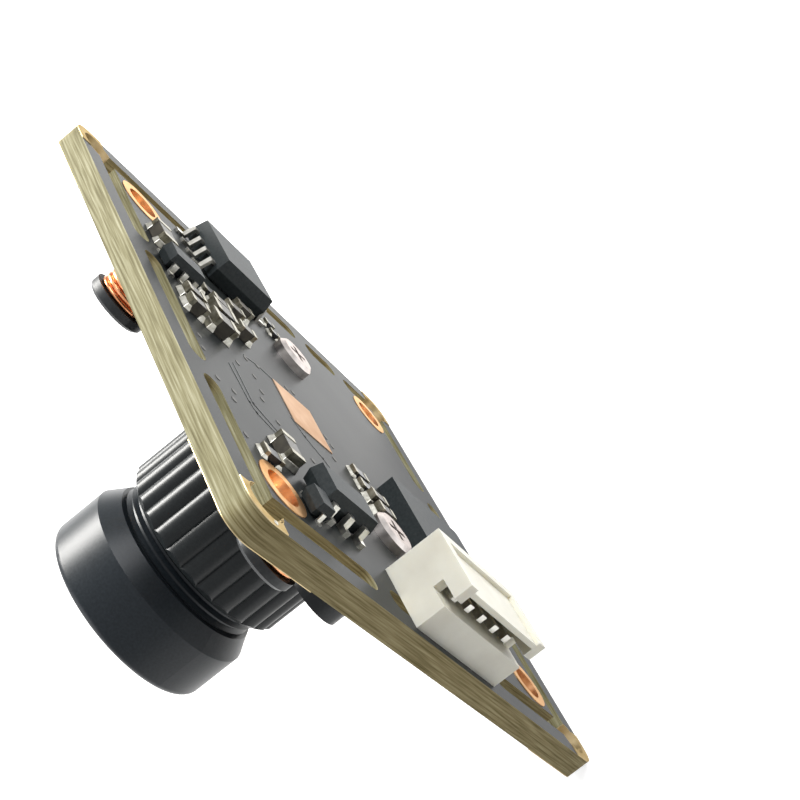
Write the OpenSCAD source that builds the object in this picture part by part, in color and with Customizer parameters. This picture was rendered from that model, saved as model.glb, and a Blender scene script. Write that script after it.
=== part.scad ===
// Board camera module: a 32 mm camera board in its 38 mm break-off frame.
// Frame: the board stands upright in the XZ plane, its lens side faces -Y.
// Origin: middle of the four mounting holes, on the board's lens-side face.

/* [Board] */
// Side of the square camera board inside the break-off frame
board_side = 32; // [31:0.5:34]
// Width of the frame's rails
rail_w = 1.5; // [1.3:0.1:2]
// Thickness of the glass-fibre board
board_t = 1.6; // [1:0.1:2]
// Width of the routed slots between board and frame
slot_w = 1.5; // [1:0.1:1.8]
// Distance of each break-off tab from the middle of its edge
tab_pos = 6; // [5:0.5:7]
// Width of a break-off tab
tab_w = 1.6; // [1.4:0.2:2.4]
// Radius of the frame's outer corners
corner_r = 1.5; // [0.8:0.1:2]
// Bore of the plated frame corner holes
corner_bore = 2.5; // [2:0.1:2.7]
// Distance of a frame corner hole from the frame's outer edges
corner_inset = 1.8; // [1.7:0.05:2]
// Length of the bare copper along each frame corner, on the lens side
corner_copper_l = 6.8; // [5:0.2:8]
// Length of the bare copper along each frame corner, on the back
corner_copper_back = 2.6; // [2.2:0.2:6]

/* [Mounting holes] */
// Spacing of the four mounting holes, both ways
mount_pitch = 28; // [27:0.5:28]
// Bore of the plated mounting holes
mount_bore = 2.4; // [2:0.1:2.6]
// Outer diameter of the copper rings round the mounting holes
ring_d = 3.7; // [3.3:0.1:3.9]
// Thickness of bare copper and of hole plating
copper_t = 0.05; // [0.03:0.01:0.1]

/* [Lens holder] */
// Height of the holder's square base and ears
base_h = 4.2; // [3.6:0.1:4.8]
// Width of the holder base across the ears
base_w = 14.2; // [13.8:0.2:15]
// Depth of the holder base the other way
base_d = 13.8; // [13.6:0.2:15]
// Distance of the holder's front rim from the board
holder_h = 9.6; // [8.8:0.2:10]
// Diameter over the ribs of the holder barrel
barrel_d = 13.6; // [13.2:0.1:13.6]
// Number of rounded ribs round the barrel
rib_count = 28; // [24:1:30]
// Radius of a rib's rounded face
rib_r = 1; // [0.9:0.05:1.2]
// Spacing of the two holder screws
ear_pitch = 18; // [17.6:0.2:19]
// Width of a screw ear
ear_w = 4.2; // [3.6:0.2:4.6]
// Bevel round the front rim of the barrel
rim_bevel = 0.4; // [0.2:0.1:0.5]

/* [Lens] */
// Distance of the lens front rim from the board
lens_front = 16.2; // [15.6:0.2:17.2]
// Diameter of the lens head
head_d = 14; // [13.6:0.1:14.4]
// Length of the lens head
head_l = 5.2; // [4.8:0.1:5.4]
// Radius of the rounded front edge of the head
head_round = 0.5; // [0.3:0.1:0.8]
// How far the bevel at the back of the head goes in
head_bevel_in = 0.8; // [0.3:0.1:0.85]
// Length of the bevel at the back of the head
head_bevel_l = 1.3; // [0.6:0.1:1.6]
// Diameter over the lens thread
thread_d = 11.9; // [11.7:0.05:11.9]
// Thread pitch, the travel for one turn
thread_pitch = 0.5; // [0.35:0.05:0.6]
// Running clearance between lens thread and holder, on the radius
thread_gap = 0.05; // [0.03:0.01:0.08]
// Diameter of the hood opening at the front rim
hood_d = 11.6; // [11:0.1:12]
// Depth of the conical hood
hood_depth = 2.4; // [2:0.1:2.8]
// Diameter of the glass elements
glass_d = 8.6; // [8:0.1:9]
// Inner diameter of the glass retaining ring
retainer_bore = 7.4; // [6.8:0.1:7.6]

/* [Connector] */
// Width of the connector housing along the board edge
conn_w = 9.1; // [8.8:0.1:9.6]
// Height of the connector housing above the board
conn_h = 3.8; // [3.6:0.1:4.2]
// Depth of the connector housing
conn_d = 4.5; // [4.3:0.1:4.7]
// How far the connector's mouth overhangs the edge of the camera board
conn_overhang = 2.35; // [2:0.05:2.5]
// Distance between neighbouring pins
pin_pitch = 1.5; // [1.4:0.05:1.5]
// Number of pins
pin_count = 5; // [3:1:5]
// Thickness of a pin
pin_t = 0.5; // [0.4:0.05:0.55]
// Height of the ledge under the mouth
ledge_h = 1.9; // [1.8:0.05:2]

/* [Microphones] */
// Length of a microphone
mic_l = 4.72; // [4.4:0.02:5]
// Width of a microphone
mic_w = 3.76; // [3.4:0.02:4]
// Height of a microphone above the board
mic_h = 1.25; // [1:0.05:1.4]

/* [Inductors] */
// Diameter of an inductor's drum core
coil_d = 4.5; // [4:0.1:4.8]
// Height of an inductor
coil_h = 3.3; // [3:0.1:3.6]
// Number of winding layers seen along the core
coil_turns = 5; // [4:1:6]

/* [Holder screws] */
// Diameter of a screw head
screw_head_d = 3.2; // [2.9:0.1:3.4]
// Height of a screw head
screw_head_h = 0.8; // [0.6:0.1:1]
// Diameter of a screw shank
screw_d = 1.6; // [1.4:0.1:1.7]

/* [Hidden] */
$fn = 48;

// Cuts run this far past the faces they open.
past = 0.5;

half_board = board_side / 2;
slot_out = half_board + slot_w;
half_frame = slot_out + rail_w;
frame_side = 2 * half_frame;
corner_at = half_frame - corner_inset;
half_mount = mount_pitch / 2;

// Signs of the four corners, and the four mounting holes in order.
CORNERS = [[-1, 1], [1, 1], [1, -1], [-1, -1]];

// The second slot on the left edge is shorter: a wide bridge carries on below it.
bridge_from = 10;
bridge_to = 13;

// Holder and lens
bore_r = thread_d / 2 + thread_gap;
web_back = 2.4;
web_front = 3.4;
light_r = 4.4;
sensor_room = 11;
filter_side = 9;
filter_t = 0.3;
screw_clear = 0.2;
pilot_gap = 0.02;
screw_l = board_t + base_h - 0.8;
head_back = lens_front - head_l;
lens_back = web_front + 0.7;
glass_gap = 0.03;
seat_r = glass_d / 2 + glass_gap;
flange_t = 0.5;
rear_glass_t = 2;
front_glass_t = 1.6;
stop_t = 0.2;
retainer_t = 0.7;
hood_floor = lens_front - hood_depth;
front_glass_back = hood_floor - retainer_t - front_glass_t;

// Bare copper areas
front_pad_at = [5.3, -10.55];
front_pad_w = 6;
front_pad_h = 4.3;
back_pad_at = [0.3, 4];
back_pad_w = 4.3;
back_pad_h = 4.2;

// Image sensor on the board under the holder
sensor_side = 6.4;
sensor_t = 0.75;
sensor_glass_side = 5.6;
sensor_glass_t = 0.4;

// Connector, its mouth towards the +X edge
conn_x = half_board + conn_overhang - conn_d;
conn_z = -0.8;
conn_wall = 0.75;
mouth_back = 1.15;
roof_sink = 0.25;
roof_from = 0.7;
arm_w = 0.75;
roof_t = 0.35;
side_slot_l = 1.5;
side_slot_h = 0.7;
pin_row_h = ledge_h + pin_t / 2 + 0.2;
pin_tip = 3.4;
pin_leg_x = conn_x - 0.5;
pin_tail = 1;
pin_hole_gap = 0.15;

// Microphones, at their centres
mic_x = 3.15 - half_board;
MICS = [[mic_x, 5.3], [mic_x, -8]];
mic_base_t = 0.25;
mic_shell = 0.1;
mic_rim = 0.12;
mic_round = 0.3;
mic_port_d = 0.8;
mic_port_at = [-0.75, 0.45];

// Inductors, at their centres
COILS = [[-8.2, 13.3], [11.6, 8.2]];
coil_foot_t = 0.15;
coil_base_t = 0.5;
coil_top_t = 0.75;
coil_waist_r = 1.15;

// Large chips on the back
cpu_side = 9;
cpu_t = 1.2;
cpu_at = [5.5, -9.1];
mem_at = [-13.2, 6.1];
mem_side = 5.3;
mem_h = 1.9;
mem_pitch = 1.27;
logic_at = [-5.6, 14.3];
mem_foot = 3.95;
logic_w = 1.6;
logic_l = 2.9;
logic_h = 1.15;
logic_foot = 1.4;
logic_pitch = 0.95;
reg_w = 2.5;
reg_l = 4.5;
reg_h = 1.5;
reg_foot = 2.2;
reg_pitch = 1.5;
reg_tab = 0.6;
reg_at = [11.75, 8.15];
transistor_at = [12.6, -7.9];
diode_at = [13.8, 11.35];

// Distance of each holder screw from the middle; the chip parts beside a screw keep to it
screw_x = ear_pitch / 2;

// Chip capacitors and resistors: centre X, centre Z, length, width, height, 1 if it lies along Z
FRONT_CAPS = [
    [-14.45, 9.3, 1.6, 0.8, 0.8, 1], [-13.05, 9.3, 1.6, 0.8, 0.8, 1], [-11.65, 9.3, 1.6, 0.8, 0.8, 1],
    [-14.45, -4.2, 1.6, 0.8, 0.7, 1], [-13.25, -4.2, 1.6, 0.8, 0.7, 1],
    [-10.6, -2.75, 1.6, 0.8, 0.8, 0], [-10.6, -3.9, 1.6, 0.8, 0.8, 0], [-10.6, -5.05, 1.6, 0.8, 0.8, 0],
    [-1.5, 11.6, 2, 1.25, 1, 1], [2.2, 13.7, 2, 1.25, 1, 1], [5.1, 13.7, 2, 1.25, 1, 1],
    [9.7, 14.9, 1.6, 0.8, 0.8, 1], [13.3, -5.5, 1.6, 0.8, 0.8, 1], [12.4, -10.6, 1.6, 0.8, 0.8, 0],
    [-0.7, -14.2, 1.6, 0.8, 0.8, 1], [2.9, -14.2, 1.6, 0.8, 0.8, 1]];
FRONT_RES = [
    [-14.3, -0.2, 1.6, 0.8, 0.45, 1], [-13, -0.2, 1.6, 0.8, 0.45, 1],
    [-5.9, 10.9, 1.6, 0.8, 0.45, 1], [-4.6, 10.9, 1.6, 0.8, 0.45, 1], [-3.2, 10.9, 1.6, 0.8, 0.45, 1],
    [11.9, -5.5, 1.6, 0.8, 0.45, 1], [15, -9.2, 1.6, 0.8, 0.45, 1],
    [0.6, -14.2, 1.6, 0.8, 0.45, 1], [4.2, -14.2, 1.6, 0.8, 0.45, 1], [5.6, -14.2, 1.6, 0.8, 0.45, 1]];
BACK_CAPS = [
    [-8.9, 14.6, 2, 1.25, 0.9, 0], [-1.2, 14.7, 1.6, 0.8, 0.8, 1], [-2.6, 14.4, 1.6, 0.8, 0.8, 1],
    [-1.3, 12.4, 2, 1.25, 1, 1], [-3.2, 11.5, 2, 1.25, 1, 1], [-5.2, 10.6, 1.6, 0.8, 0.8, 1],
    [-4.4, 8.3, 1.6, 0.8, 0.8, 1], [-6.6, 8.4, 1.6, 0.8, 0.8, 1], [-8.6, 6.4, 1.6, 0.8, 0.8, 1],
    [9.7, 11.7, 2, 1.25, 0.9, 0],
    [screw_x - 3.5, -0.6, 1.6, 0.8, 0.8, 1], [screw_x - 2.3, -0.6, 1.6, 0.8, 0.8, 1]];
BACK_RES = [
    [-6.8, 10.6, 1.6, 0.8, 0.45, 1], [11.5, 13.9, 1.6, 0.8, 0.45, 1],
    [screw_x - 6.1, -0.6, 1.6, 0.8, 0.45, 1], [screw_x - 4.8, -0.6, 1.6, 0.8, 0.45, 1],
    [-screw_x - 3.4, 0.9, 1, 0.5, 0.35, 1], [-screw_x - 2.2, 0.9, 1, 0.5, 0.35, 1]];
chip_cap_share = 0.19;

// Places children on the lens side: their +Z points out of the board, +Y up.
module on_front(x = 0, z = 0) translate([x, 0, z]) rotate([90, 0, 0]) children();

// Places children on the back: their +Z points out of the board, +Y down.
module on_back(x = 0, z = 0) translate([x, board_t, z]) rotate([-90, 0, 0]) children();

module centred_box(l, w, h) translate([-l / 2, -w / 2, 0]) cube([l, w, h]);

// A plate with four round corners, exact arcs and straight sides.
module round_plate(l, w, h, r) {
    centred_box(l - 2 * r, w, h);
    centred_box(l, w - 2 * r, h);
    for (s = CORNERS)
        translate([s[0] * (l / 2 - r), s[1] * (w / 2 - r), 0]) cylinder(r = r, h = h);
}

// A round-ended slot cutter along X, between two X values.
module slot_cut(from, to, y, w, h) {
    translate([from + w / 2, y - w / 2, -past]) cube([to - from - w, w, h + 2 * past]);
    for (x = [from + w / 2, to - w / 2])
        translate([x, y, -past]) cylinder(d = w, h = h + 2 * past);
}

// Slots of one edge: a middle slot and two that run out into the corner holes.
module edge_slots() {
    mid = half_board + slot_w / 2;
    slot_cut(-tab_pos + tab_w / 2, tab_pos - tab_w / 2, mid, slot_w, board_t);
    slot_cut(tab_pos + tab_w / 2, corner_at, mid, slot_w, board_t);
    slot_cut(-corner_at, -tab_pos - tab_w / 2, mid, slot_w, board_t);
}

module board() color([0.12, 0.13, 0.13]) {
    difference() {
        on_back() translate([0, 0, -board_t]) difference() {
            round_plate(frame_side, frame_side, board_t, corner_r);
            for (a = [0, 180, 270]) rotate(a) edge_slots();
            rotate(90) {
                mid = half_board + slot_w / 2;
                slot_cut(-tab_pos + tab_w / 2, tab_pos - tab_w / 2, mid, slot_w, board_t);
                slot_cut(-corner_at, -tab_pos - tab_w / 2, mid, slot_w, board_t);
                slot_cut(tab_pos + tab_w / 2, bridge_from + slot_w / 2, mid, slot_w, board_t);
                slot_cut(bridge_to - slot_w / 2, corner_at, mid, slot_w, board_t);
            }
            for (s = CORNERS) {
                translate([s[0] * corner_at, s[1] * corner_at, -past])
                    cylinder(d = corner_bore + 2 * copper_t, h = board_t + 2 * past);
                translate([s[0] * half_mount, s[1] * half_mount, -past])
                    cylinder(d = mount_bore + 2 * copper_t, h = board_t + 2 * past);
            }
        }
        for (s = [-1, 1]) translate([s * ear_pitch / 2, -past, 0]) rotate([-90, 0, 0])
            cylinder(d = screw_d + 2 * screw_clear, h = board_t + 2 * past);
        for (i = [0 : pin_count - 1]) translate([pin_leg_x, -past, pin_z(i)]) rotate([-90, 0, 0])
            cylinder(d = pin_t * sqrt(2) + pin_hole_gap, h = board_t + 2 * past);
    }
}

// One plated hole: a copper tube through the board with a flat ring on each face.
module mount_hole_plating() color([0.8, 0.58, 0.42]) {
    for (s = CORNERS) translate([s[0] * half_mount, 0, s[1] * half_mount]) rotate([-90, 0, 0])
        difference() {
            union() {
                cylinder(d = mount_bore + 2 * copper_t, h = board_t);
                for (z = [-copper_t, board_t]) translate([0, 0, z]) cylinder(d = ring_d, h = copper_t);
            }
            translate([0, 0, -past]) cylinder(d = mount_bore, h = board_t + 2 * past);
        }
}

// One square of bare copper in a frame corner, its sides as long as the reach.
module copper_square(reach) {
    intersection() {
        round_plate(frame_side, frame_side, copper_t, corner_r);
        translate([half_frame - reach, half_frame - reach, -past])
            cube([reach + past, reach + past, 2 * past + copper_t]);
    }
}

// Bare copper at one frame corner: an L on each face joined by the plated half hole.
module corner_copper_one() {
    difference() {
        union() {
            translate([0, 0, -copper_t]) copper_square(corner_copper_back);
            translate([0, 0, board_t]) copper_square(corner_copper_l);
            translate([corner_at, corner_at, 0]) cylinder(d = corner_bore + 2 * copper_t, h = board_t);
        }
        translate([0, 0, -past]) cube([slot_out, slot_out, board_t + 2 * past]);
        translate([corner_at, corner_at, -past]) cylinder(d = corner_bore, h = board_t + 2 * past);
    }
}

module corner_copper() color([0.72, 0.6, 0.36])
    for (a = [0, 90, 180, 270]) translate([0, board_t, 0]) rotate([90, 0, 0])
        rotate(a) corner_copper_one();

// Copper area with one corner notched out and an L of small via holes.
module front_ground_pad() color([0.76, 0.58, 0.32]) {
    w = front_pad_w;
    h = front_pad_h;
    on_front(front_pad_at[0], front_pad_at[1]) difference() {
        centred_box(w, h, copper_t);
        translate([w / 2 - 1.4, -h / 2 - past, -past]) cube([1.4 + past, 1.3 + past, copper_t + 2 * past]);
        for (i = [0 : 3]) {
            translate([-0.7, 1.75 - i * 0.75, -past]) cylinder(d = 0.25, h = copper_t + 2 * past);
            translate([-2.5 + i * 0.45, -0.1, -past]) cylinder(d = 0.25, h = copper_t + 2 * past);
        }
    }
}

module back_ground_pad() color([0.85, 0.72, 0.6])
    on_back(back_pad_at[0], back_pad_at[1]) centred_box(back_pad_w, back_pad_h, copper_t);

// Barrel of rounded ribs side by side, its front rim bevelled.
module ribbed_barrel() {
    spare = 0.3;
    intersection() {
        union() {
            cylinder(r = bore_r + 0.2, h = holder_h);
            for (i = [0 : rib_count - 1]) rotate(i * 360 / rib_count)
                translate([barrel_d / 2 - rib_r, 0, base_h - past]) cylinder(r = rib_r, h = holder_h);
        }
        union() {
            cylinder(d = barrel_d + 2 * spare, h = holder_h - rim_bevel - spare);
            translate([0, 0, holder_h - rim_bevel - spare])
                cylinder(d1 = barrel_d + 2 * spare, d2 = barrel_d - 2 * rim_bevel, h = rim_bevel + spare);
        }
    }
}

// Moulded holder: ribbed barrel on a square base with two screw ears.
module lens_holder() color([0.1, 0.11, 0.12]) {
    on_front() difference() {
        union() {
            centred_box(base_w, base_d, base_h);
            centred_box(ear_pitch, ear_w, base_h);
            for (s = [-1, 1]) translate([s * ear_pitch / 2, 0, 0]) cylinder(d = ear_w, h = base_h);
            ribbed_barrel();
        }
        translate([0, 0, web_front]) cylinder(r = bore_r, h = holder_h, $fn = 96);
        translate([0, 0, -past]) cylinder(r = light_r, h = holder_h);
        translate([0, 0, -past]) centred_box(sensor_room, sensor_room, web_back + past);
        for (s = [-1, 1]) translate([s * ear_pitch / 2, 0, -past])
            cylinder(d = screw_d + 2 * pilot_gap, h = base_h + 2 * past);
    }
}

// Pan-head screws from the back of the board into the ears.
module holder_screws() color([0.75, 0.74, 0.72]) {
    edge = 0.25;
    for (s = [-1, 1]) on_back(s * ear_pitch / 2) difference() {
        union() {
            cylinder(d = screw_head_d, h = screw_head_h - edge);
            translate([0, 0, screw_head_h - edge])
                cylinder(d1 = screw_head_d, d2 = screw_head_d - 2 * edge, h = edge);
            translate([0, 0, -screw_l]) cylinder(d = screw_d, h = screw_l + past / 2);
        }
        for (a = [0, 90]) rotate(a) translate([0, 0, screw_head_h / 2])
            centred_box(screw_head_d * 0.55, 0.35, screw_head_h);
    }
}

module image_sensor() color([0.2, 0.22, 0.2]) on_front() centred_box(sensor_side, sensor_side, sensor_t);

module sensor_cover_glass() color([0.3, 0.42, 0.4])
    on_front() translate([0, 0, sensor_t]) centred_box(sensor_glass_side, sensor_glass_side, sensor_glass_t);

module ir_filter() color([0.5, 0.25, 0.3])
    on_front() translate([0, 0, web_back - filter_t]) centred_box(filter_side, filter_side, filter_t);

// Turned lens barrel: head with hood, exposed thread, stepped bore for the glass.
module lens_barrel() color([0.12, 0.13, 0.14]) {
    ridges = round((head_back - holder_h) / thread_pitch);
    on_front() difference() {
        union() {
            rotate_extrude($fn = 96) {
                polygon([[0, head_back], [head_d / 2 - head_bevel_in, head_back],
                    [head_d / 2, head_back + head_bevel_l],
                    [head_d / 2, lens_front - head_round], [0, lens_front - head_round]]);
                square_to(head_d / 2 - head_round, lens_front - head_round, lens_front);
                intersection() {
                    translate([head_d / 2 - head_round, lens_front - head_round]) circle(r = head_round);
                    square_to(head_d / 2 + past, lens_front - head_round, lens_front + past);
                }
            }
            translate([0, 0, lens_back])
                cylinder(d = thread_d, h = holder_h - lens_back - thread_pitch, $fn = 96);
            cylinder_between(thread_d / 2 - 0.25, lens_back, head_back + 0.1);
            for (i = [0 : ridges - 1])
                translate([0, 0, head_back - (i + 0.9) * thread_pitch])
                    cylinder(d1 = thread_d - 0.5, d2 = thread_d, h = thread_pitch / 2, $fn = 96);
        }
        translate([0, 0, hood_floor])
            cylinder(d1 = glass_d - 0.2, d2 = hood_d, h = hood_depth + 0.01, $fn = 96);
        cylinder_between(seat_r, lens_back + flange_t, hood_floor + 0.01);
        cylinder_between(light_r - 1.4, lens_back - past, lens_front);
    }
}

module square_to(r, z1, z2) translate([0, z1]) square([r, z2 - z1]);

module cylinder_between(r, z1, z2) translate([0, 0, z1]) cylinder(r = r, h = z2 - z1, $fn = 96);

// Ring that holds the glass in, with two notches for a spanner.
module lens_retaining_ring() color([0.16, 0.17, 0.18])
    on_front() difference() {
        cylinder_between(seat_r - 0.005, hood_floor - retainer_t, hood_floor);
        cylinder_between(retainer_bore / 2, hood_floor - retainer_t - past, hood_floor + past);
        translate([0, 0, hood_floor - retainer_t / 2]) centred_box(glass_d + 2, 0.6, retainer_t);
    }

// Domed front glass with a flat edge.
module lens_front_element() color([0.25, 0.2, 0.22]) {
    dome_r = 9;
    dome_h = dome_r - sqrt(dome_r * dome_r - pow(retainer_bore / 2, 2));
    on_front() {
        cylinder_between(glass_d / 2, front_glass_back, front_glass_back + front_glass_t);
        translate([0, 0, front_glass_back + front_glass_t]) intersection() {
            translate([0, 0, dome_h - dome_r]) sphere(r = dome_r, $fn = 96);
            cylinder(r = retainer_bore / 2 - 0.1, h = dome_h + past, $fn = 96);
        }
    }
}

// Two tubes that space the elements, with the aperture stop between them.
stack_from = lens_back + flange_t + rear_glass_t;
stack_to = front_glass_back;
stop_at = (stack_from + stack_to - stop_t) / 2;

module spacer_tube(z1, z2) difference() {
    cylinder_between(glass_d / 2, z1, z2);
    cylinder_between(glass_d / 2 - 0.9, z1 - past, z2 + past);
}

module lens_spacers() color([0.1, 0.1, 0.1]) on_front() {
    spacer_tube(stack_from, stop_at);
    spacer_tube(stop_at + stop_t, stack_to);
}

module aperture_stop() color([0.08, 0.08, 0.08]) on_front() difference() {
    cylinder_between(glass_d / 2, stop_at, stop_at + stop_t);
    cylinder_between(1.1, stop_at - past, stop_at + stop_t + past);
}

module lens_rear_element() color([0.3, 0.3, 0.4])
    on_front() cylinder_between(glass_d / 2, lens_back + flange_t, stack_from);

module mic_bases() color([0.86, 0.84, 0.68])
    for (m = MICS) on_front(m[0], m[1]) centred_box(mic_l, mic_w, mic_base_t);

// Pressed metal cans with a sound port, open below.
module mic_cans() color([0.8, 0.64, 0.34])
    for (m = MICS) on_front(m[0], m[1]) translate([0, 0, mic_base_t]) difference() {
        union() {
            round_plate(mic_l - 2 * mic_rim, mic_w - 2 * mic_rim, mic_h - mic_base_t - 0.08, mic_round);
            round_plate(mic_l - 3.2 * mic_rim, mic_w - 3.2 * mic_rim, mic_h - mic_base_t, mic_round);
        }
        translate([0, 0, -past]) centred_box(mic_l - 6 * mic_rim, mic_w - 6 * mic_rim,
            mic_h - mic_base_t - mic_shell + past);
        translate([mic_port_at[0], mic_port_at[1], 0]) cylinder(d = mic_port_d, h = mic_h, $fn = 24);
    }

// Sensing die and amplifier die bonded inside each can.
module mic_dies() color([0.5, 0.5, 0.52])
    for (m = MICS) on_front(m[0], m[1]) translate([0, 0, mic_base_t]) {
        translate([-0.95, 0, 0]) centred_box(1.2, 1.2, 0.4);
        translate([0.95, 0, 0]) centred_box(1, 0.9, 0.25);
    }

// Ferrite drum: foot flange, waist and top flange.
module inductor_cores() color([0.14, 0.15, 0.16])
    for (c = COILS) on_front(c[0], c[1]) rotate_extrude(angle = 360) polygon([[0, coil_foot_t],
        [coil_d / 2, coil_foot_t], [coil_d / 2, coil_foot_t + coil_base_t],
        [coil_waist_r, coil_foot_t + coil_base_t], [coil_waist_r, coil_h - coil_top_t],
        [coil_d / 2 - 0.1, coil_h - coil_top_t], [coil_d / 2 - 0.1, coil_h - 0.2],
        [coil_d / 2 - 0.3, coil_h], [0, coil_h]]);

// Copper winding: a sleeve with one bulge for each layer of wire.
module inductor_windings() color([0.72, 0.4, 0.22]) {
    low = coil_foot_t + coil_base_t;
    wire = (coil_h - coil_top_t - low) / coil_turns;
    for (c = COILS) on_front(c[0], c[1]) rotate_extrude(angle = 360) difference() {
        union() {
            translate([coil_waist_r, low]) square([0.5, wire * coil_turns]);
            for (i = [0 : coil_turns - 1])
                translate([coil_waist_r + 0.5, low + wire * (i + 0.5)]) circle(d = wire, $fn = 16);
        }
        translate([0, low - past]) square([coil_waist_r, coil_h]);
    }
}

module inductor_terminals() color([0.8, 0.8, 0.78])
    for (c = COILS, s = [-1, 1]) on_front(c[0], c[1])
        translate([s * 1.4, 0, 0]) centred_box(1.1, 2.6, coil_foot_t);

function pin_z(i) = conn_z + (i - (pin_count - 1) / 2) * pin_pitch;

// Side-entry header: a block with a ledge, a roofed mouth and a slot in each side wall.
module connector_housing() color([0.93, 0.92, 0.85]) {
    translate([conn_x, board_t, conn_z - conn_w / 2]) difference() {
        cube([conn_d, conn_h, conn_w]);
        translate([mouth_back, ledge_h, conn_wall])
            cube([conn_d, conn_h - roof_sink - roof_t - ledge_h, conn_w - 2 * conn_wall]);
        for (z = [-past, conn_w - conn_wall - past]) translate([conn_d - side_slot_l, ledge_h, z])
            cube([conn_d, side_slot_h, conn_wall + 2 * past]);
        for (i = [0 : pin_count - 1])
            translate([-past, pin_row_h - pin_t / 2, pin_z(i) - conn_z + conn_w / 2 - pin_t / 2])
                cube([conn_d, pin_t, pin_t]);
        translate([roof_from, conn_h - roof_sink, arm_w]) cube([conn_d, 1, conn_w - 2 * arm_w]);
    }
}

// Bent pins: a contact in the mouth, a leg behind the housing and a tail through the board.
module connector_pins() color([0.82, 0.8, 0.76])
    for (i = [0 : pin_count - 1]) translate([0, 0, pin_z(i) - pin_t / 2]) {
        translate([pin_leg_x - pin_t / 2, board_t + pin_row_h - pin_t / 2, 0])
            cube([conn_x - pin_leg_x + pin_t / 2 + pin_tip, pin_t, pin_t]);
        translate([pin_leg_x - pin_t / 2, -pin_tail, 0])
            cube([pin_t, pin_tail + board_t + pin_row_h, pin_t]);
    }

module processor() color([0.15, 0.16, 0.17])
    on_back(cpu_at[0], cpu_at[1]) round_plate(cpu_side, cpu_side, cpu_t, 0.3);

// A moulded package whose four sides lean in above and below the lead line.
module moulded_body(l, w, h, lean) {
    mid = h / 2;
    intersection() {
        translate([0, w / 2 + past, 0]) rotate([90, 0, 0]) linear_extrude(w + 2 * past)
            polygon([[-l / 2 + lean, 0.1], [l / 2 - lean, 0.1], [l / 2, mid], [l / 2 - lean, h],
                [-l / 2 + lean, h], [-l / 2, mid]]);
        translate([-l / 2 - past, 0, 0]) rotate([90, 0, 90]) linear_extrude(l + 2 * past)
            polygon([[-w / 2 + lean, 0.1], [w / 2 - lean, 0.1], [w / 2, mid], [w / 2 - lean, h],
                [-w / 2 + lean, h], [-w / 2, mid]]);
    }
}

// One gull-wing lead that leaves the body at root and stands on the board at foot, along +X.
module gull_lead(root, foot, mid, t, w) {
    knee = root + (foot - root) * 0.35;
    heel = root + (foot - root) * 0.5;
    translate([0, w / 2, 0]) rotate([90, 0, 0]) linear_extrude(w)
        polygon([[root, mid - t / 2], [knee - t, mid - t / 2], [heel - t, 0], [foot, 0],
            [foot, t], [heel, t], [knee, mid + t / 2], [root, mid + t / 2]]);
}

module memory_chip() color([0.14, 0.15, 0.16])
    on_back(mem_at[0], mem_at[1]) moulded_body(mem_side, mem_side, mem_h, 0.15);

module memory_chip_leads() color([0.78, 0.77, 0.7])
    on_back(mem_at[0], mem_at[1]) for (a = [90, 270], i = [-1.5 : 1.5]) rotate(a)
        translate([0, i * mem_pitch, 0]) gull_lead(mem_side / 2, mem_foot, mem_h / 2, 0.2, 0.42);

module logic_chip() color([0.13, 0.14, 0.15])
    on_back(logic_at[0], logic_at[1]) moulded_body(logic_w, logic_l, logic_h, 0.1);

module logic_chip_leads() color([0.78, 0.74, 0.66])
    on_back(logic_at[0], logic_at[1]) for (a = [0, 180], i = [-1 : 1]) rotate(a)
        translate([0, i * logic_pitch, 0]) gull_lead(logic_w / 2, logic_foot, logic_h / 2, 0.15, 0.4);

module regulator() color([0.13, 0.14, 0.15])
    on_back(reg_at[0], reg_at[1]) moulded_body(reg_w, reg_l, reg_h, 0.15);

// Three flat leads on one side and the cooling tab on the other.
module regulator_leads() color([0.78, 0.77, 0.72])
    on_back(reg_at[0], reg_at[1]) {
        for (i = [-1 : 1]) translate([0, i * reg_pitch, 0])
            gull_lead(reg_w / 2, reg_foot, reg_h / 2, 0.35, 0.45);
        translate([-reg_w / 2 - reg_tab / 2, 0, 0]) centred_box(reg_tab, 1.6, 0.4);
    }

module transistor() color([0.13, 0.14, 0.15])
    on_front(transistor_at[0], transistor_at[1]) moulded_body(1.3, 2.9, 1, 0.1);

module transistor_leads() color([0.78, 0.77, 0.72])
    on_front(transistor_at[0], transistor_at[1]) {
        for (i = [-0.95, 0.95]) translate([0, i, 0]) gull_lead(0.65, 1.2, 0.5, 0.12, 0.4);
        rotate(180) gull_lead(0.65, 1.2, 0.5, 0.12, 0.4);
    }

module diode() color([0.13, 0.14, 0.14])
    on_back(diode_at[0], diode_at[1]) moulded_body(1.7, 1.25, 1, 0.08);

module diode_terminals() color([0.78, 0.77, 0.72])
    on_back(diode_at[0], diode_at[1]) for (a = [0, 180]) rotate(a) gull_lead(0.85, 1.3, 0.5, 0.12, 0.3);

// Body or end caps of one chip part, lying along X unless upright is 1.
module chip_body(p) rotate(p[5] == 1 ? 90 : 0)
    translate([0, 0, 0.03]) centred_box(p[2] * (1 - 2 * chip_cap_share), p[3] * 0.94, p[4] - 0.06);

module chip_caps(p) rotate(p[5] == 1 ? 90 : 0) for (s = [-1, 1])
    translate([s * p[2] * (1 - chip_cap_share) / 2, 0, 0]) centred_box(p[2] * chip_cap_share, p[3], p[4]);

module front_capacitors() color([0.55, 0.45, 0.33]) for (p = FRONT_CAPS) on_front(p[0], p[1]) chip_body(p);

module front_capacitor_caps() color([0.8, 0.79, 0.75])
    for (p = FRONT_CAPS) on_front(p[0], p[1]) chip_caps(p);

module front_resistors() color([0.12, 0.12, 0.13]) for (p = FRONT_RES) on_front(p[0], p[1]) chip_body(p);

module front_resistor_caps() color([0.8, 0.79, 0.75]) for (p = FRONT_RES) on_front(p[0], p[1]) chip_caps(p);

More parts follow.
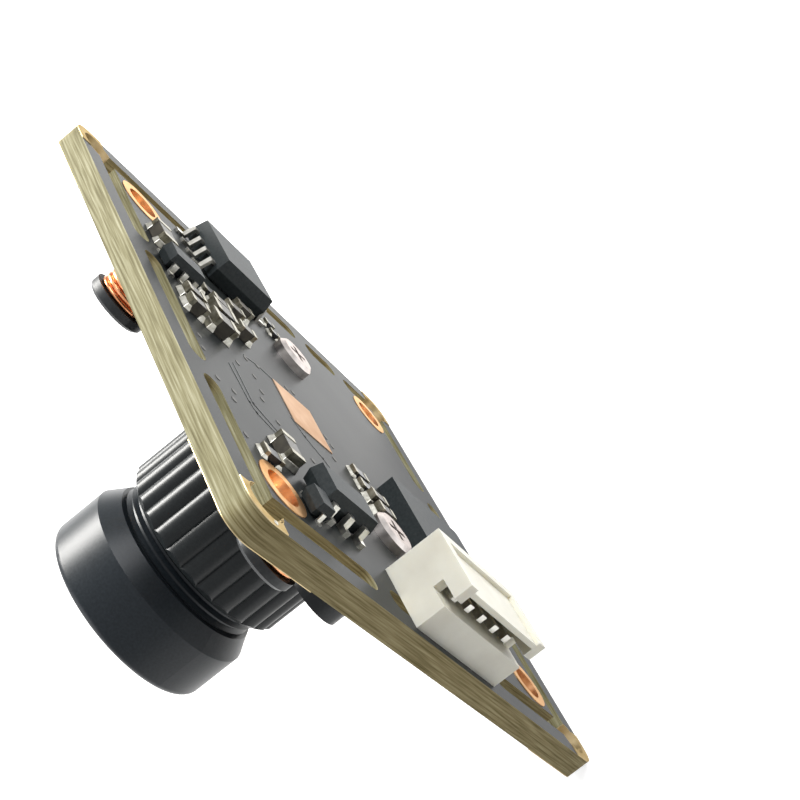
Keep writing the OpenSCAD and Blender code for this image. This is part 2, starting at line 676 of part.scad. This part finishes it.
module back_capacitors() color([0.35, 0.3, 0.26]) for (p = BACK_CAPS) on_back(p[0], p[1]) chip_body(p);

module back_capacitor_caps() color([0.8, 0.79, 0.75]) for (p = BACK_CAPS) on_back(p[0], p[1]) chip_caps(p);

module back_resistors() color([0.12, 0.12, 0.13]) for (p = BACK_RES) on_back(p[0], p[1]) chip_body(p);

module back_resistor_caps() color([0.8, 0.79, 0.75]) for (p = BACK_RES) on_back(p[0], p[1]) chip_caps(p);

board();
mount_hole_plating();
corner_copper();
front_ground_pad();
back_ground_pad();
lens_holder();
holder_screws();
image_sensor();
sensor_cover_glass();
ir_filter();
lens_barrel();
lens_retaining_ring();
lens_front_element();
lens_spacers();
aperture_stop();
lens_rear_element();
mic_bases();
mic_cans();
mic_dies();
inductor_cores();
inductor_windings();
inductor_terminals();
connector_housing();
connector_pins();
processor();
memory_chip();
memory_chip_leads();
logic_chip();
logic_chip_leads();
regulator();
regulator_leads();
transistor();
transistor_leads();
diode();
diode_terminals();
front_capacitors();
front_capacitor_caps();
front_resistors();
front_resistor_caps();
back_capacitors();
back_capacitor_caps();
back_resistors();
back_resistor_caps();
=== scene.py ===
"""Board camera module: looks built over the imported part, in metres, in the part's own frame."""
import math

import bmesh
import bpy
from mathutils import Matrix, Vector


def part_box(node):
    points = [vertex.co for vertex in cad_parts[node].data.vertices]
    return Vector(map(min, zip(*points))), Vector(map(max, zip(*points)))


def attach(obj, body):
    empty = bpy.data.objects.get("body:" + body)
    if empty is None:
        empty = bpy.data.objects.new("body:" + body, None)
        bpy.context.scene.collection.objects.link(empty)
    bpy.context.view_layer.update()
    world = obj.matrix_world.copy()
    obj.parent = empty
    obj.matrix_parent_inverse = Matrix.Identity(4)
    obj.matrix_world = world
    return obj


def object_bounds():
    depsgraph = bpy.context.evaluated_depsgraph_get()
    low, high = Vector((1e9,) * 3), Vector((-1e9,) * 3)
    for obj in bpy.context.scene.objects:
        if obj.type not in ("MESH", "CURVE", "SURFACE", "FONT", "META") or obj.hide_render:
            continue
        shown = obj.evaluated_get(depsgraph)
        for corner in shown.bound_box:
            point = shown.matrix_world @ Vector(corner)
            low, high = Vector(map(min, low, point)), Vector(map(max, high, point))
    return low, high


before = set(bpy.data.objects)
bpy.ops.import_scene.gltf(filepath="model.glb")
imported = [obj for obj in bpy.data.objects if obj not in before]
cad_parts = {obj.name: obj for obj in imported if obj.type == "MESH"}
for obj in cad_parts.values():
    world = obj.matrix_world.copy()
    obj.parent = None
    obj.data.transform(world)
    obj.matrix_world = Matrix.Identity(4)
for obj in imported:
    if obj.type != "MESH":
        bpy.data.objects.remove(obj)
cad_low, cad_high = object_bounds()
MM = 0.001

# ---- Studio ----
# Plain white table and surround. The key lamp is low on the lens side, a
# softer one is above the back and the third fills the front of the board.


def place_camera():
    camera = bpy.data.objects.new("camera", bpy.data.cameras.new("camera"))
    bpy.context.scene.collection.objects.link(camera)
    right = Vector((0.3806, 0.7759, -0.50311)).normalized()
    back = Vector((0.69376, 0.12014, 0.71011)).normalized()
    up = back.cross(right).normalized()
    right = up.cross(back)
    turn = Matrix((right, up, back)).transposed()
    camera.matrix_world = Matrix.Translation(Vector((62.639, 17.476, 63.509)) * MM) @ turn.to_4x4()
    camera.data.sensor_width = 36
    camera.data.lens = 63.15
    camera.data.clip_start = 0.001
    camera.data.clip_end = 10
    bpy.context.scene.camera = camera


def area_lamp(name, place, aim, size, watts, colour):
    data = bpy.data.lights.new(name, "AREA")
    data.shape = "DISK"
    data.size = size
    data.energy = watts
    data.color = colour
    lamp = bpy.data.objects.new(name, data)
    bpy.context.scene.collection.objects.link(lamp)
    lamp.location = place
    lamp.rotation_mode = "QUATERNION"
    lamp.rotation_quaternion = (Vector(aim) - Vector(place)).to_track_quat("-Z", "Y")


def math_node(nodes, operation, first, second=None):
    """A maths node on one or two values, each a socket or a plain number."""
    node = nodes.new("ShaderNodeMath")
    node.operation = operation
    for socket, value in zip(node.inputs, (first, second)):
        if isinstance(value, (int, float)):
            socket.default_value = value
        elif value is not None:
            node.id_data.links.new(value, socket)
    return node.outputs[0]


def seen_rays(nodes):
    """1 for a ray from the camera, a mirror or through glass, and 0 for one that lights."""
    rays = nodes.new("ShaderNodeLightPath")
    mirrored = math_node(nodes, "MAXIMUM", rays.outputs["Is Camera Ray"], rays.outputs["Is Glossy Ray"])
    return math_node(nodes, "MAXIMUM", mirrored, rays.outputs["Is Transmission Ray"])


place_camera()
area_lamp("lamp_key", (-0.225, -0.10, 0.17), (0, -0.004, 0), 0.13, 1.95, (1, 0.985, 0.95))
area_lamp("lamp_back", (-0.05, 0.17, 0.25), (0, 0, 0), 0.20, 1.15, (0.97, 0.98, 1))
area_lamp("lamp_front", (0.02, -0.28, 0.14), (0, 0, 0), 0.24, 0.45, (0.95, 0.97, 1))

world = bpy.data.worlds.new("surround")
bpy.context.scene.world = world
world.use_nodes = True
tree = world.node_tree
tree.nodes.clear()
sky_out = tree.nodes.new("ShaderNodeOutputWorld")
sky_mix = tree.nodes.new("ShaderNodeMixShader")
sky_dim = tree.nodes.new("ShaderNodeBackground")
sky_seen = tree.nodes.new("ShaderNodeBackground")
sky_dim.inputs["Color"].default_value = (0.95, 0.97, 1, 1)
sky_dim.inputs["Strength"].default_value = 0.2
sky_seen.inputs["Color"].default_value = (1, 1, 1, 1)
sky_seen.inputs["Strength"].default_value = 1
tree.links.new(seen_rays(tree.nodes), sky_mix.inputs[0])
tree.links.new(sky_dim.outputs[0], sky_mix.inputs[1])
tree.links.new(sky_seen.outputs[0], sky_mix.inputs[2])
tree.links.new(sky_mix.outputs[0], sky_out.inputs["Surface"])

table_mesh = bpy.data.meshes.new("table")
bm = bmesh.new()
bmesh.ops.create_grid(bm, x_segments=1, y_segments=1, size=1.5)
bmesh.ops.translate(bm, verts=bm.verts, vec=(0, 0, cad_low.z - 0.0004))
bm.to_mesh(table_mesh)
bm.free()
table = bpy.data.objects.new("table", table_mesh)
bpy.context.scene.collection.objects.link(table)
table_paint = bpy.data.materials.new("table_white")
table_paint.use_nodes = True
table_nodes = table_paint.node_tree.nodes
table_shader = table_nodes["Principled BSDF"]
table_shader.inputs["Base Color"].default_value = (0.6, 0.6, 0.6, 1)
table_shader.inputs["Roughness"].default_value = 0.9
table_shader.inputs["Emission Color"].default_value = (1, 1, 1, 1)
table_lift = math_node(table_nodes, "MULTIPLY", seen_rays(table_nodes), 0.72)
table_paint.node_tree.links.new(table_lift, table_shader.inputs["Emission Strength"])
table_mesh.materials.append(table_paint)
bpy.context.scene.view_settings.view_transform = "Standard"

# ---- Board ----
# Glass-fibre laminate under a glossy black solder mask, routed and drilled.
# Its cut edges are bare and show the yellow layers of woven glass, painted
# darker on the edges facing up and down than on those facing sideways, a painted shade.


def new_finish(name, colour, rough, metal=0.0, ior=1.5, edge=None):
    """metal is 0 or 1, and edge the tint of what the surface mirrors."""
    finish = bpy.data.materials.new(name)
    finish.use_nodes = True
    shader = finish.node_tree.nodes["Principled BSDF"]
    shader.inputs["Base Color"].default_value = (*colour, 1)
    shader.inputs["Roughness"].default_value = rough
    shader.inputs["Metallic"].default_value = metal
    shader.inputs["IOR"].default_value = ior
    if edge:
        shader.inputs["Specular Tint"].default_value = (*edge, 1)
    return finish


def noise_on(finish, scale, detail=4.0, stretch=(1, 1, 1)):
    nodes, links = finish.node_tree.nodes, finish.node_tree.links
    place = nodes.new("ShaderNodeTexCoord")
    stretched = nodes.new("ShaderNodeMapping")
    stretched.inputs["Scale"].default_value = stretch
    noise = nodes.new("ShaderNodeTexNoise")
    noise.inputs["Scale"].default_value = scale
    noise.inputs["Detail"].default_value = detail
    links.new(place.outputs["Object"], stretched.inputs["Vector"])
    links.new(stretched.outputs["Vector"], noise.inputs["Vector"])
    return noise.outputs["Fac"]


def ramp_on(finish, fac, *stops):
    nodes, links = finish.node_tree.nodes, finish.node_tree.links
    ramp = nodes.new("ShaderNodeValToRGB")
    marks = ramp.color_ramp.elements
    while len(marks) < len(stops):
        marks.new(0.5)
    for mark, (at, colour) in zip(marks, stops):
        mark.position = at
        mark.color = (*colour, 1)
    links.new(fac, ramp.inputs["Fac"])
    return ramp.outputs["Color"]


def bump_on(finish, height, depth):
    nodes, links = finish.node_tree.nodes, finish.node_tree.links
    bump = nodes.new("ShaderNodeBump")
    bump.inputs["Distance"].default_value = depth
    bump.inputs["Strength"].default_value = 1
    links.new(height, bump.inputs["Height"])
    links.new(bump.outputs["Normal"], nodes["Principled BSDF"].inputs["Normal"])


def span_on(finish, fac, low, high):
    """fac, from 0 to 1, spread from low to high."""
    spread = finish.node_tree.nodes.new("ShaderNodeMapRange")
    spread.inputs["To Min"].default_value = low
    spread.inputs["To Max"].default_value = high
    finish.node_tree.links.new(fac, spread.inputs["Value"])
    return spread.outputs["Result"]


def mix_on(finish, fac, colour_a, colour_b):
    links = finish.node_tree.links
    mixer = finish.node_tree.nodes.new("ShaderNodeMix")
    mixer.data_type = "RGBA"
    links.new(fac, mixer.inputs["Factor"])
    links.new(colour_a, mixer.inputs["A"])
    links.new(colour_b, mixer.inputs["B"])
    return mixer.outputs["Result"]


def vary(finish, scale, shades, rough, depth):
    """Uneven colour, gloss and surface from one noise."""
    links = finish.node_tree.links
    shader = finish.node_tree.nodes["Principled BSDF"]
    fac = noise_on(finish, scale)
    links.new(ramp_on(finish, fac, (0.3, shades[0]), (0.7, shades[1])), shader.inputs["Base Color"])
    links.new(span_on(finish, fac, *rough), shader.inputs["Roughness"])
    bump_on(finish, fac, depth)


def dress(finish, *names):
    for name in names:
        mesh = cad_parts[name].data
        mesh.materials.clear()
        mesh.materials.append(finish)


board_finish = new_finish("board_mask_and_fibre", (0.02, 0.022, 0.022), 0.33, 0, 1.14)
nodes, links = board_finish.node_tree.nodes, board_finish.node_tree.links
facing = nodes.new("ShaderNodeTexCoord")
split = nodes.new("ShaderNodeSeparateXYZ")
links.new(facing.outputs["Normal"], split.inputs[0])
is_face = math_node(nodes, "GREATER_THAN", math_node(nodes, "ABSOLUTE", split.outputs["Y"]), 0.7)
layers = noise_on(board_finish, 260, 5, (1, 30, 1))
# Painted shade: the cut edges facing up and down (±Z) take a darker copy of the layered fibre colour
# than the edges facing sideways (±X), chosen by which way each edge faces.
fibre_up_painted_darker = ramp_on(board_finish, layers, (0.3, (0.10, 0.088, 0.042)), (0.5, (0.18, 0.165, 0.09)),
                   (0.7, (0.30, 0.285, 0.19)))
fibre_side_painted_lighter = ramp_on(board_finish, layers, (0.3, (0.15, 0.12, 0.05)), (0.5, (0.27, 0.22, 0.11)),
                     (0.7, (0.40, 0.34, 0.19)))
painted_shade_facing_mix = math_node(nodes, "ABSOLUTE", split.outputs["X"])
fibre = mix_on(board_finish, painted_shade_facing_mix, fibre_up_painted_darker, fibre_side_painted_lighter)
mask = ramp_on(board_finish, noise_on(board_finish, 160, 3), (0.3, (0.012, 0.014, 0.014)),
               (0.7, (0.026, 0.028, 0.027)))
shader = nodes["Principled BSDF"]
links.new(mix_on(board_finish, is_face, fibre, mask), shader.inputs["Base Color"])
links.new(span_on(board_finish, is_face, 0.62, 0.36), shader.inputs["Roughness"])
relief = span_on(board_finish, is_face, 1, 0.08)
bump_on(board_finish, math_node(nodes, "MULTIPLY", layers, relief), 0.00004)
dress(board_finish, "board")

# ---- Bare copper ----
# Copper left free of mask and plated: rings and barrels of the mounting
# holes, the frame corners and one ground area on each face.

ring_copper = new_finish("ring_copper", (0.66, 0.40, 0.22), 0.34, 1, 1.5, (0.8, 0.66, 0.5))
vary(ring_copper, 1500, ((0.56, 0.32, 0.16), (0.76, 0.50, 0.29)), (0.26, 0.42), 0.000006)
corner_gold = new_finish("corner_copper", (0.46, 0.37, 0.22), 0.46, 1, 1.5, (0.5, 0.42, 0.3))
vary(corner_gold, 1600, ((0.40, 0.31, 0.17), (0.54, 0.44, 0.27)), (0.4, 0.54), 0.000005)
pad_gold = new_finish("pad_gold", (0.72, 0.52, 0.26), 0.4, 1)
vary(pad_gold, 800, ((0.64, 0.45, 0.22), (0.80, 0.60, 0.34)), (0.35, 0.5), 0.00001)
dress(ring_copper, "mount_hole_plating")
dress(corner_gold, "corner_copper")
dress(pad_gold, "front_ground_pad")
back_pad_copper = new_finish("back_pad_copper", (0.62, 0.45, 0.34), 0.42, 1, 1.5, (0.42, 0.34, 0.27))
vary(back_pad_copper, 900, ((0.54, 0.38, 0.28), (0.68, 0.52, 0.41)), (0.36, 0.5), 0.000004)
dress(back_pad_copper, "back_ground_pad")

# ---- Lens holder and screws ----
# Satin black moulding with ribs round its barrel, held from behind by two
# plated pan-head screws cut into its ears.

holder_black = new_finish("holder_black", (0.010, 0.012, 0.013), 0.32, 0, 1.30)
vary(holder_black, 5200, ((0.008, 0.010, 0.011), (0.013, 0.016, 0.017)), (0.30, 0.38), 0.000003)
dress(holder_black, "lens_holder")
screw_steel = new_finish("screw_steel", (0.50, 0.46, 0.44), 0.32, 1, 1.5, (0.75, 0.7, 0.68))
vary(screw_steel, 1700, ((0.40, 0.37, 0.35), (0.60, 0.56, 0.54)), (0.26, 0.4), 0.000005)
dress(screw_steel, "holder_screws")

# ---- Lens ----
# Turned aluminium barrel in satin black with a cone hood, screwed into the
# holder. Coated glass elements drop in and a slotted ring holds them.

barrel_black = new_finish("barrel_black", (0.010, 0.013, 0.016), 0.34, 0, 1.28)
vary(barrel_black, 6000, ((0.008, 0.011, 0.014), (0.013, 0.017, 0.021)), (0.32, 0.40), 0.000003)
dress(barrel_black, "lens_barrel", "lens_retaining_ring")
inner_black = new_finish("inner_black", (0.01, 0.01, 0.01), 0.7)
vary(inner_black, 1500, ((0.008, 0.008, 0.008), (0.016, 0.016, 0.016)), (0.6, 0.8), 0.000005)
dress(inner_black, "lens_spacers", "aperture_stop")
# Painted shade: the glass is tinted near black-brown, so that the lens looks dark where clear glass
# would show the dark inside of the lens.
lens_glass = new_finish("lens_glass", (0.07, 0.05, 0.045), 0.03, edge=(0.45, 0.28, 0.2))
shader = lens_glass.node_tree.nodes["Principled BSDF"]
shader.inputs["Transmission Weight"].default_value = 1
shader.inputs["IOR"].default_value = 1.6
shader.inputs["Specular IOR Level"].default_value = 0.15
shader.inputs["Coat Weight"].default_value = 0.12
shader.inputs["Coat Roughness"].default_value = 0.03
shader.inputs["Coat Tint"].default_value = (1, 0.62, 0.4, 1)
dress(lens_glass, "lens_front_element", "lens_rear_element")

# ---- Sensor and filter ----
# Sensor package soldered under the holder, with its cover glass, and the
# reddish filter glued across the holder above it.

sensor_body = new_finish("sensor_body", (0.05, 0.055, 0.05), 0.4)
vary(sensor_body, 900, ((0.04, 0.045, 0.04), (0.07, 0.075, 0.07)), (0.35, 0.5), 0.000005)
dress(sensor_body, "image_sensor")
thin_glass = new_finish("thin_glass", (0.8, 0.88, 0.86), 0.04)
thin_glass.node_tree.nodes["Principled BSDF"].inputs["Transmission Weight"].default_value = 1
dress(thin_glass, "sensor_cover_glass")
red_glass = new_finish("filter_glass", (0.75, 0.45, 0.55), 0.04)
red_glass.node_tree.nodes["Principled BSDF"].inputs["Transmission Weight"].default_value = 1
dress(red_glass, "ir_filter")

# ---- Microphones ----
# Gold-plated pressed cans, each with one sound hole, soldered on cream
# substrates that hold the silicon dies.

mic_gold = new_finish("mic_gold", (0.72, 0.52, 0.24), 0.36, 1)
vary(mic_gold, 1000, ((0.66, 0.46, 0.20), (0.80, 0.60, 0.32)), (0.3, 0.45), 0.000006)
dress(mic_gold, "mic_cans")
substrate = new_finish("mic_substrate", (0.74, 0.70, 0.48), 0.5)
vary(substrate, 1200, ((0.66, 0.62, 0.40), (0.80, 0.77, 0.56)), (0.45, 0.6), 0.000006)
dress(substrate, "mic_bases")
silicon = new_finish("silicon", (0.2, 0.2, 0.22), 0.2, 0.6)
vary(silicon, 1500, ((0.17, 0.17, 0.19), (0.24, 0.24, 0.27)), (0.15, 0.28), 0.000002)
dress(silicon, "mic_dies")

# ---- Inductors ----
# Ferrite drums with a waist, wound with enamelled copper wire and soldered
# down on tinned terminals.

ferrite = new_finish("ferrite", (0.02, 0.022, 0.024), 0.42, 0, 1.35)
vary(ferrite, 2600, ((0.014, 0.016, 0.018), (0.032, 0.035, 0.037)), (0.36, 0.52), 0.00001)
dress(ferrite, "inductor_cores")
wire_copper = new_finish("wire_copper", (0.75, 0.30, 0.14), 0.28, 1)
vary(wire_copper, 2400, ((0.60, 0.22, 0.09), (0.88, 0.42, 0.22)), (0.2, 0.38), 0.000006)
dress(wire_copper, "inductor_windings")
tin = new_finish("tin", (0.62, 0.61, 0.56), 0.3, 1)
vary(tin, 2600, ((0.50, 0.49, 0.44), (0.70, 0.69, 0.64)), (0.24, 0.4), 0.000005)
# Painted shade: a darker copy of the same tin, for the end caps of the chip parts on the back face.
back_cap_tin_painted_shade = new_finish("back_cap_tin_painted_shade", (0.30, 0.28, 0.22), 0.34, 1)
vary(back_cap_tin_painted_shade, 2600, ((0.18, 0.165, 0.12), (0.42, 0.40, 0.32)), (0.28, 0.46), 0.000005)
dress(tin, "inductor_terminals")

# ---- Header ----
# Side-entry header moulded in ivory nylon, which lets a little light
# through, with five tinned pins.

ivory = new_finish("ivory_nylon", (0.78, 0.75, 0.65), 0.42)
vary(ivory, 500, ((0.66, 0.63, 0.53), (0.74, 0.72, 0.62)), (0.40, 0.50), 0.000008)
ivory_shader = ivory.node_tree.nodes["Principled BSDF"]
ivory_shader.inputs["Subsurface Weight"].default_value = 0.35
ivory_shader.inputs["Subsurface Radius"].default_value = (1, 0.9, 0.7)
ivory_shader.inputs["Subsurface Scale"].default_value = 0.0008
dress(ivory, "connector_housing")
dress(tin, "connector_pins")

# ---- Chips ----
# Packages moulded in dull black epoxy, tops left bare, and soldered by
# tinned gull-wing leads.

chip_epoxy = new_finish("chip_epoxy", (0.030, 0.037, 0.038), 0.5, 0, 1.33)
vary(chip_epoxy, 5200, ((0.010, 0.014, 0.015), (0.022, 0.027, 0.028)), (0.44, 0.6), 0.000006)
dress(chip_epoxy, "processor", "memory_chip", "logic_chip", "regulator", "transistor", "diode")
dress(tin, "memory_chip_leads", "logic_chip_leads", "regulator_leads", "transistor_leads",
      "diode_terminals")

# ---- Chip capacitors and resistors ----
# Fired ceramic blocks, brown for capacitors and glazed black for resistors,
# with tinned ends that are soldered down; the ends on the back are painted darker, a painted shade.

ceramic = new_finish("capacitor_ceramic", (0.32, 0.22, 0.13), 0.45)
vary(ceramic, 1300, ((0.24, 0.16, 0.09), (0.40, 0.29, 0.18)), (0.38, 0.55), 0.000006)
dark_ceramic = new_finish("dark_ceramic", (0.05, 0.045, 0.035), 0.42)
vary(dark_ceramic, 1300, ((0.035, 0.032, 0.026), (0.08, 0.07, 0.052)), (0.34, 0.5), 0.000006)
glaze = new_finish("resistor_glaze", (0.02, 0.02, 0.022), 0.3)
vary(glaze, 1600, ((0.015, 0.015, 0.017), (0.035, 0.035, 0.038)), (0.24, 0.4), 0.000004)
dress(ceramic, "front_capacitors")
dress(dark_ceramic, "back_capacitors")
dress(glaze, "front_resistors", "back_resistors")
dress(tin, "front_capacitor_caps", "front_resistor_caps")
# The back end caps take the darker tin, a painted shade.
dress(back_cap_tin_painted_shade, "back_capacitor_caps", "back_resistor_caps")

# ---- Printed lines ----
# White legend ink screened on the mask: outlines round the holder ears, the
# small parts and one inductor, all plain lines, 0.15 mm wide.


def islands(name):
    """Lowest and highest corner of each separate solid in a CAD node."""
    work = bmesh.new()
    work.from_mesh(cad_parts[name].data)
    bmesh.ops.remove_doubles(work, verts=work.verts, dist=1e-7)
    waiting = set(work.verts)
    boxes = []
    while waiting:
        edge_of = [waiting.pop()]
        group = []
        while edge_of:
            vert = edge_of.pop()
            group.append(vert.co.copy())
            for edge in vert.link_edges:
                other = edge.other_vert(vert)
                if other in waiting:
                    waiting.remove(other)
                    edge_of.append(other)
        boxes.append((Vector([min(c[i] for c in group) for i in range(3)]),
                      Vector([max(c[i] for c in group) for i in range(3)])))
    work.free()
    return sorted(boxes, key=lambda box: tuple(round(v, 6) for v in box[0]))


def add_piece(name, bm, finish):
    mesh = bpy.data.meshes.new(name)
    bm.to_mesh(mesh)
    bm.free()
    mesh.materials.append(finish)
    piece = bpy.data.objects.new(name, mesh)
    bpy.context.scene.collection.objects.link(piece)
    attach(piece, "board_assembly")


def add_box(bm, middle, size, angle=0.0):
    """A box, turned about Y by angle."""
    turn = Matrix.Rotation(angle, 4, "Y")
    scale = Matrix.Diagonal((*size, 1))
    bmesh.ops.create_cube(bm, size=1, matrix=Matrix.Translation(middle) @ turn @ scale)


def add_line(bm, start, end, wide, face_y, thick):
    """A flat line from start to end, each (x, z) in mm, standing off the face at face_y."""
    ax, az = start
    bx, bz = end
    long = math.hypot(bx - ax, bz - az) + wide
    middle = Vector(((ax + bx) / 2 * MM, face_y, (az + bz) / 2 * MM))
    add_box(bm, middle, (long * MM, thick, wide * MM), -math.atan2(bz - az, bx - ax))


def add_arc(bm, centre, radius, first, last, wide, face_y, thick, steps=16):
    """A flat arc of short lines; first and last in degrees from +X towards +Z."""
    marks = [math.radians(first + (last - first) * k / steps) for k in range(steps + 1)]
    spots = [(centre[0] + radius * math.cos(t), centre[1] + radius * math.sin(t)) for t in marks]
    for k, (a, b) in enumerate(zip(spots, spots[1:])):
        add_line(bm, a, b, wide, face_y, thick * (1 + 0.2 * (k % 2)))


def add_outline(bm, low_x, high_x, low_z, high_z, wide, face_y, thick):
    corners = [(low_x, low_z), (high_x, low_z), (high_x, high_z), (low_x, high_z)]
    for k, (a, b) in enumerate(zip(corners, corners[1:] + corners[:1])):
        add_line(bm, a, b, wide, face_y, thick * (1 + 0.2 * (k % 2)))


INK = 0.00002
LINE_WIDTH = 0.15
EAR_X = 9
EAR_LINE_R = 2.5
INDUCTOR_LINE_R = 2.7
board_low, board_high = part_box("board")
front_y = board_low.y
back_y = board_high.y
legend_white = new_finish("legend_white", (0.62, 0.63, 0.60), 0.55)
vary(legend_white, 2500, ((0.52, 0.53, 0.50), (0.70, 0.71, 0.68)), (0.5, 0.65), 0.000003)
legend = bmesh.new()
for side, middle in ((-1, 180), (1, 0)):
    add_arc(legend, (side * EAR_X, 0), EAR_LINE_R, middle - 75, middle + 75, LINE_WIDTH, front_y, INK)
for a, b in (((-10, -2), (-6.4, -2)), ((-6.4, -2), (-6.4, -6.5)), ((-6.4, 4), (-6.4, 7)),
             ((-9.1, -9.8), (-2.5, -9.8)), ((-12, -13.1), (-2.4, -13.1)), ((0, -11.5), (0, -12.8)),
             ((6.4, 12.3), (8.5, 13))):
    add_line(legend, a, b, LINE_WIDTH, front_y, INK)
low_corner, high_corner = max(islands("inductor_cores"), key=lambda core: core[0].z)
spot = ((low_corner + high_corner) / 2) / MM
add_arc(legend, (spot.x, spot.z), INDUCTOR_LINE_R, 0, 360, 0.14, front_y, INK, 36)


def outline_parts(bm, caps, face_y):
    """An outline round each chip part, found from its pair of end caps."""
    near = 2e-5
    reach = 0.28
    ends = [(low, high, (low + high) / 2) for low, high in islands(caps)]
    used = set()
    for i, (low_a, high_a, mid_a) in enumerate(ends):
        if i in used:
            continue
        upright = (high_a - low_a).x > (high_a - low_a).z
        gaps = []
        for j, (low_b, high_b, mid_b) in enumerate(ends):
            same_x = abs(mid_b.x - mid_a.x) < near
            in_line = same_x or abs(mid_b.z - mid_a.z) < near
            same_width = abs((high_b - low_b).x - (high_a - low_a).x) < near
            if j != i and j not in used and in_line and same_width and same_x == upright:
                gaps.append(((mid_b - mid_a).length, j))
        if not gaps:
            continue
        partner = min(gaps)[1]
        used.update((i, partner))
        low_b, high_b, mid_b = ends[partner]
        add_outline(bm, min(low_a.x, low_b.x) / MM - reach, max(high_a.x, high_b.x) / MM + reach,
                    min(low_a.z, low_b.z) / MM - reach, max(high_a.z, high_b.z) / MM + reach,
                    0.12, face_y, INK)


outline_parts(legend, "front_capacitor_caps", front_y)
outline_parts(legend, "front_resistor_caps", front_y)
add_piece("printed_lines", legend, legend_white)

# ---- Tracks and vias ----
# Copper tracks that stand up a little under the mask, and small plated
# holes joining the two faces, covered by mask.


def add_via(bm, spot, wide, face_y, thick):
    bmesh.ops.create_cone(bm, cap_ends=True, segments=16, radius1=wide / 2 * MM, radius2=wide / 2.4 * MM,
                          depth=thick, matrix=Matrix.Translation((spot[0] * MM, face_y, spot[1] * MM))
                          @ Matrix.Rotation(-math.pi / 2, 4, "X"))


track_mask = new_finish("track_mask", (0.03, 0.033, 0.033), 0.34, 0, 1.14)
vary(track_mask, 1800, ((0.022, 0.026, 0.026), (0.04, 0.044, 0.043)), (0.3, 0.4), 0.000002)
TRACK_WIDTH = 0.16
VIA_WIDTH = 0.5
tracks = bmesh.new()
for path in (((2.2, 12.6), (5.6, 12.4), (6.3, 12.1), (7.0, 10.5)),
             ((1.6, 11.9), (5.3, 11.9), (6.6, 10.0)),
             ((-1.6, 9.2), (-2.0, 7.6), (-1.8, 5.5)),
             ((2.3, 6.3), (3.5, 5.6), (4.6, 4.3), (5.3, 3.8))):
    for a, b in zip(path, path[1:]):
        add_line(tracks, a, b, TRACK_WIDTH, back_y, 2 * INK)
add_piece("tracks", tracks, track_mask)
via_dark = new_finish("via_dark", (0.02, 0.018, 0.014), 0.5)
vary(via_dark, 4000, ((0.012, 0.011, 0.009), (0.03, 0.027, 0.02)), (0.4, 0.6), 0.000003)
vias = bmesh.new()
for spot in ((10.8, 15.5), (7.2, 14.7), (6, 15.6), (6, 14.1), (3.3, 15.6), (1.8, 15.3), (0.8, 11.1),
             (3.4, 10), (2.2, 9.4), (0.6, 9.3), (5, 9.3), (0.3, 1.3), (1.0, 1.0), (3.0, 2.0),
             (6.4, 6.5), (-2.5, 4.1), (-2.8, 3.2), (-0.55, 11.5), (-1.8, 7.7), (-1.3, 9.2),
             (16.98, 18.55)):
    add_via(vias, spot, VIA_WIDTH, back_y, 3 * INK)
add_piece("covered_vias", vias, via_dark)

# ---- Solder ----
# Bright fillets of tin solder: a low sloping pool at each end of every chip
# capacitor and resistor, and two small blobs, the one on the back by the corner a painted highlight.


def add_pool(bm, low_corner, high_corner, face_y, sign, spread, rise):
    """A sloping pool round one solder end, spreading on the board and climbing the end."""
    foot = []
    top = []
    for right, above in ((0, 0), (1, 0), (1, 1), (0, 1)):
        x, out_x = (high_corner.x, 1) if right else (low_corner.x, -1)
        z, out_z = (high_corner.z, 1) if above else (low_corner.z, -1)
        foot.append(bm.verts.new((x + spread * out_x, face_y, z + spread * out_z)))
        top.append(bm.verts.new((x + 0.00001 * out_x, face_y + sign * rise, z + 0.00001 * out_z)))
    bm.faces.new(foot)
    bm.faces.new(top)
    for k in range(4):
        bm.faces.new((foot[k], foot[(k + 1) % 4], top[(k + 1) % 4], top[k]))


solder = new_finish("solder", (0.40, 0.39, 0.34), 0.32, 1)
vary(solder, 3000, ((0.30, 0.29, 0.25), (0.52, 0.51, 0.46)), (0.26, 0.42), 0.000006)
pools = bmesh.new()
POOL_SPREAD = 0.00013
POOL_RISE = 0.45
for side_name, face_y, sign in (("front", front_y, -1), ("back", back_y, 1)):
    for kind in ("capacitor", "resistor"):
        for low_corner, high_corner in islands(f"{side_name}_{kind}_caps"):
            add_pool(pools, low_corner, high_corner, face_y, sign, POOL_SPREAD,
                     (high_corner.y - low_corner.y) * POOL_RISE)
bmesh.ops.recalc_face_normals(pools, faces=pools.faces)
bmesh.ops.bevel(pools, geom=list(pools.edges), offset=0.00003, offset_type="OFFSET", segments=2,
                profile=0.5, affect="EDGES", material=-1)
add_piece("solder_pools", pools, solder)
blobs = bmesh.new()
# The small blob on the back by corner B is a painted highlight: it stands where a glint off the plated
# wall of the corner hole shows.
for spot, wide, face_y, sign in (((14, -2.6), 0.9, front_y, -1), ((18.72, 17.3), 0.34, back_y, 1)):
    bmesh.ops.create_uvsphere(blobs, u_segments=20, v_segments=12, radius=wide / 2 * MM,
                              matrix=Matrix.Translation((spot[0] * MM, face_y, spot[1] * MM))
                              @ Matrix.Diagonal((1, 0.7, 1, 1)))
add_piece("solder_blob_and_painted_highlight", blobs, solder)
